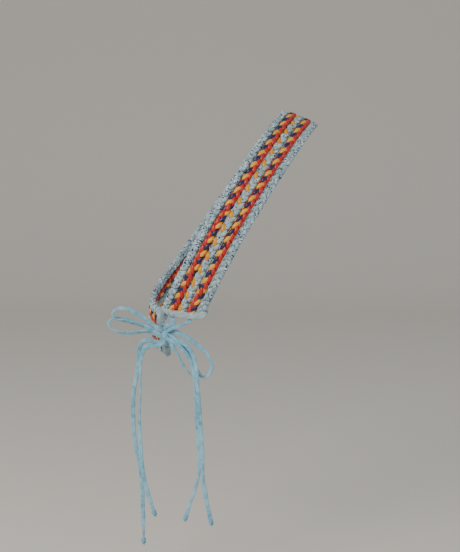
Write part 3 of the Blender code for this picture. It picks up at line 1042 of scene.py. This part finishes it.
@dataclass
class Bow:
    """The double bow: leads from the bindings, the knot, loops and knotted tails.

    Attributes:
        facings: How each tape turns along its way, in degrees from face-on.
        step: How far apart the rings of a tape are.
        end_depth: How far below a tail's end its knot's middle is.
        width: The tapes' declared width.
    """

    facings: dict[str, tuple[float, ...]]
    step: float = 1.2 * MM
    end_depth: float = 5.8 * MM
    # width: The tapes' width; not used.
    width: float = 6.5 * MM

    def into_knot(self, line: np.ndarray) -> np.ndarray:
        """The part of a line that is outside the knot or just in it."""
        away = np.linalg.norm((line - KNOT_CENTRE) / KNOT_HALVES, axis=1)
        return spaced(line[away >= 0.62], self.step)

    def inside(self, point: np.ndarray) -> np.ndarray:
        """A point in the knot, behind the given one."""
        return KNOT_CENTRE + (point - KNOT_CENTRE) / 2

    def build_leads(self, sash: SashLine, tape: bpy.types.Material) -> None:
        """Makes the four leads, each from inside its binding to the knot."""
        shares = {
            "front_lead_near": -0.28,
            "front_lead_far": 0.46,
            "back_lead_upper": -0.30,
            "back_lead_lower": 0.55,
        }
        for number, (name, share) in enumerate(shares.items()):
            binding = EndBinding(End.FRONT if name.startswith("front") else End.BACK)
            offset = share * binding.half(sash)
            at, deeps, _ = np.array(EndBinding.FOLDS).T
            outside = binding.end.value
            face = sash.end_run(binding.end, offset)
            face += outside * binding.depth * float(np.interp(share, at, deeps))
            out, aside = outside * math.cos(sash.shear), -outside * math.sin(sash.shear)
            start = [
                sash.place(np.array(face + out * gap), offset + aside * gap, 0.0)
                for gap in (-4.0 * MM, 0.6 * MM, 3.6 * MM)
            ]
            route = np.array(LEAD_ROUTES[name]) * MM
            line = smooth_curve(np.vstack([*start, *route, self.inside(route[-1])]))
            strap = Strap(seed=500 + 10 * number, gathers=(1,), half_width=3.5 * MM)
            shell = strap.shell(self.into_knot(line), self.facings[name])
            shell.piece(f"{name}_tape", tape, Slot.TIE, name)

    def build_cords(self, tape: bpy.types.Material) -> None:
        """Makes the loops and the tails, with the knot that ends each tail."""
        for number, (name, marks) in enumerate(CORD_ROUTES.items()):
            route = np.array(marks) * MM
            loop = name.startswith("loop")
            points = [self.inside(route[0]), *route]
            if loop:
                points.append(self.inside(route[-1]))
            line = smooth_curve(np.vstack(points))
            if not loop:
                down = unit(line[-1] - line[-20])
                centre = line[-1] + down * self.end_depth
                line = np.vstack([line, centre])
                self.end_knot(name, centre, -down, 600 + number, tape)
            line = self.into_knot(line)
            strap = Strap(seed=700 + 10 * number, gathers=(0, 1) if loop else (0,))
            shell = strap.shell(line, self.facings[name])
            piece = shell.piece(f"{name}_tape", tape, Slot.TIE, name)

    def end_knot(
        self, tail: str, centre: np.ndarray, up: np.ndarray, seed: int, tape: bpy.types.Material
    ) -> bpy.types.Object:
        """Makes the knot at a tail's end, with the stub that is left below it."""
        node = tail.replace("tail", "end_knot")
        knot = Knot(centre, up, END_WRAPS, (2.7 * MM, 2.7 * MM, 3.6 * MM), seed)
        stub = spaced(np.vstack([centre, centre - up * 5.6 * MM]), 0.7 * MM)
        strap = Strap(half_width=2.6 * MM, half_thickness=1.1 * MM, seed=seed)
        shells = [*knot.shells(), strap.shell(stub, (30.0, 40.0))]
        return Shell.merged(shells).piece(f"{node}_tape", tape, Slot.TIE, node)

    def build(self, sash: SashLine, tape: bpy.types.Material) -> None:
        """Makes the whole bow."""
        knot = Knot(
            KNOT_CENTRE, np.array((0.0, 0.0, 1.0)), BOW_WRAPS, (5.2 * MM, 4.4 * MM, 6.2 * MM), 400
        )
        Shell.merged(knot.shells()).piece("bow_knot_tape", tape, Slot.TIE, "bow_knot")
        self.build_leads(sash, tape)
        self.build_cords(tape)


@dataclass
class Studio:
    """A pale floor that sweeps up behind, soft light and the camera.

    Attributes:
        floor: The floor's height.
        paper: The floor's colour.
        daylight: The strength of the room's own light.
        camera: Where the photograph was taken from.
        tilt: The camera's turn up from looking straight down, in degrees.
        lens: The camera's focal length on a frame 36 mm wide, in millimetres.
    """

    floor: float = -0.68
    paper: str = "#D9D5CE"
    daylight: float = 0.55
    camera: tuple[float, float, float] = (-0.1051, -1.80, -0.037)
    tilt: float = 83.82
    lens: float = 93.913

    def build_floor(self) -> None:
        """Makes the floor with its sweep."""
        bpy.ops.object.select_all(action="DESELECT")
        bpy.ops.mesh.primitive_plane_add(size=8.0, location=(0.0, 0.0, self.floor))
        sweep = bpy.context.object
        sweep.name = "studio_floor"
        bpy.ops.object.mode_set(mode="EDIT")
        bpy.ops.mesh.select_all(action="DESELECT")
        bpy.ops.object.mode_set(mode="OBJECT")
        for edge in sweep.data.edges:
            edge.select = all(sweep.data.vertices[end].co.y > 0 for end in edge.vertices)
        bpy.ops.object.mode_set(mode="EDIT")
        bpy.ops.mesh.select_mode(type="EDGE")
        bpy.ops.mesh.extrude_region_move(TRANSFORM_OT_translate={"value": (0.0, 0.0, 5.0)})
        bpy.ops.object.mode_set(mode="OBJECT")
        bpy.ops.object.transform_apply(location=True, rotation=True, scale=True)
        bevel = sweep.modifiers.new("Sweep", "BEVEL")
        bevel.width, bevel.segments = 1.2, 16
        bpy.ops.object.modifier_apply(modifier="Sweep")
        bpy.ops.object.shade_smooth()
        paper = bpy.data.materials.new("studio_paper")
        paper.use_nodes = True
        shader = paper.node_tree.nodes["Principled BSDF"]
        shader.inputs["Base Color"].default_value = linear(self.paper)
        shader.inputs["Roughness"].default_value = 0.95
        sweep.data.materials.append(paper)

    def build_lights(self) -> None:
        """Adds daylight from a window at the front left, a weak fill and the room's light."""
        for name, place, turn, size, power, colour in (
            ("window", (-1.5, -1.7, 0.9), (58.0, 0.0, -41.0), 1.1, 46.0, "#FFF8F0"),
            ("fill", (1.7, -1.2, 0.2), (80.0, 0.0, 55.0), 1.4, 6.0, "#F2F6FF"),
        ):
            light = bpy.data.lights.new(name, "AREA")
            light.size, light.energy, light.color = size, power, linear(colour)[:3]
            lamp = bpy.data.objects.new(name, light)
            lamp.location, lamp.rotation_euler = place, [math.radians(part) for part in turn]
            bpy.context.scene.collection.objects.link(lamp)
        world = bpy.data.worlds.new("room")
        bpy.context.scene.world = world
        world.use_nodes = True
        room = world.node_tree.nodes["Background"]
        room.inputs[0].default_value = linear("#F4F5F6")
        room.inputs[1].default_value = self.daylight

    def build_camera(self) -> None:
        """Sets the camera where the photograph was taken from."""
        view = bpy.data.cameras.new("camera")
        view.sensor_fit, view.sensor_width, view.lens = "HORIZONTAL", 36.0, self.lens
        camera = bpy.data.objects.new("camera", view)
        camera.location = self.camera
        camera.rotation_euler = (math.radians(self.tilt), 0.0, 0.0)
        bpy.context.scene.collection.objects.link(camera)
        bpy.context.scene.camera = camera

    def build(self) -> None:
        """Sets up the whole studio."""
        self.build_floor()
        self.build_lights()
        self.build_camera()


# Printed quilting cotton: a flat, chalky face whose specks are in the dye
PRINT_DENSE = PrintedCotton("printed_cotton_dense", "#A9C2CA", "#7E9EAC", cover=0.80)
PRINT_PALE = PrintedCotton("printed_cotton_pale", "#A6BFC5", "#82A0AA", cover=0.50)
# Polyester satin: deep colour, with painted highlight streaks in a paler colour along its raised
# ribs
RED = Satin("satin_red", "#C6240F", "#A80E0C")
NAVY = Satin("satin_navy", "#131553", "#0B0C3A")
YELLOW = Satin("satin_yellow", "#EDB331", "#D6921C")
MUSTARD = Satin("satin_mustard", "#DDA11F", "#BC7D10")
# Greyish cotton for the bindings, with the ghost of the same print
BINDING = PrintedCotton(
    "binding_cotton", "#A9BCBF", "#8CA4AA", cover=0.34, speck="#5D7787", pale="#C4D2D4"
)
# Soft-washed cotton tape and sewing thread
TAPE = Cotton("tie_cotton", "#8CC0D4", "#5F9DB6", sheen=0.3, roughness=0.7)
THREAD = Cotton("sewing_thread", "#B9C9CC", "#9FB4BA", thread=0.4 * MM)

RED_PAIR = (("red_a", RED), ("red_b", RED))
PALE_THREE = tuple((f"pale_{part}", PRINT_PALE) for part in "abc")
BRAIDS = (
    RoundBraid(
        "outer_braid_neck_side",
        -2,
        (
            ("dense_a", PRINT_DENSE), ("dense_b", PRINT_DENSE),
            ("pale", PRINT_PALE), ("dense_c", PRINT_DENSE),
        ),
        Slot.PRINTED,
        Plait.OPENS_UP,
        phase=0.15,
    ),
    RoundBraid(
        "colour_braid_neck_side",
        -1,
        (("yellow", YELLOW), ("navy", NAVY), *RED_PAIR),
        Slot.SATIN,
        Plait.OPENS_DOWN,
        rolls=((0.05, 0.0), (0.08, 90.0), (0.15, 90.0), (0.18, 0.0)),
    ),
    RoundBraid(
        "centre_braid",
        0,
        (("mustard", MUSTARD), *PALE_THREE),
        Slot.CENTRE,
        Plait.OPENS_UP,
    ),
    RoundBraid(
        "colour_braid_arm_side",
        1,
        (("yellow", YELLOW), ("navy", NAVY), *RED_PAIR),
        Slot.SATIN,
        Plait.OPENS_DOWN,
        rolls=((0.03, 90.0), (0.06, 0.0)),
    ),
    RoundBraid(
        "outer_braid_arm_side",
        2,
        (*PALE_THREE, ("dense", PRINT_DENSE)),
        Slot.PRINTED,
        Plait.OPENS_DOWN,
        phase=0.4,
    ),
)

FACINGS = {
    "front_lead_near": (0.0, 0.0, 10.0, 30.0),
    "front_lead_far": (50.0, 60.0, 60.0, 40.0),
    "back_lead_upper": (20.0, 30.0, 30.0),
    "back_lead_lower": (60.0, 50.0, 30.0),
    "loop_left_upper": (20.0, 0.0, 10.0, 40.0, 75.0, 60.0, 40.0, 30.0, 20.0),
    "loop_left_lower": (20.0, 10.0, 0.0, 30.0, 75.0, 50.0, 30.0, 40.0, 20.0),
    "loop_right_outer": (10.0, 0.0, 0.0, 20.0, 45.0, 60.0, 60.0, 30.0, 20.0, 30.0),
    "loop_right_inner": (20.0, 40.0, 50.0, 60.0, 70.0, 50.0, 20.0, 10.0, 20.0),
    "tail_left_outer": (20.0, 0.0, 0.0, 30.0, 10.0, 0.0, 0.0, 0.0, 0.0, 20.0, 80.0),
    "tail_left_inner": (10.0, 10.0, 60.0, 80.0, 60.0, 20.0, 0.0, 10.0, 30.0),
    "tail_right_outer": (0.0, 10.0, 20.0, 10.0, 0.0, 10.0, 40.0, 20.0, 0.0),
    "tail_right_inner": (10.0, 20.0, 60.0, 70.0, 40.0, 20.0, 40.0, 60.0, 30.0),
}


def main() -> None:
    """Builds the belt and its studio."""
    logging.basicConfig(level=logging.INFO, format="%(name)s: %(message)s")
    cloths = (PRINT_DENSE, PRINT_PALE, RED, NAVY, YELLOW, MUSTARD, BINDING, TAPE, THREAD)
    finishes = {cloth.name: cloth.material() for cloth in cloths}
    sash = SashLine()
    log.info("sash: %.3f m long", sash.length)
    for braid in BRAIDS:
        braid.build(sash, finishes)
    for end in End:
        EndBinding(end).build(sash, finishes[BINDING.name], finishes[THREAD.name])
    Bow(FACINGS).build(sash, finishes[TAPE.name])
    Studio().build()


if __name__ == "__main__":
    main()
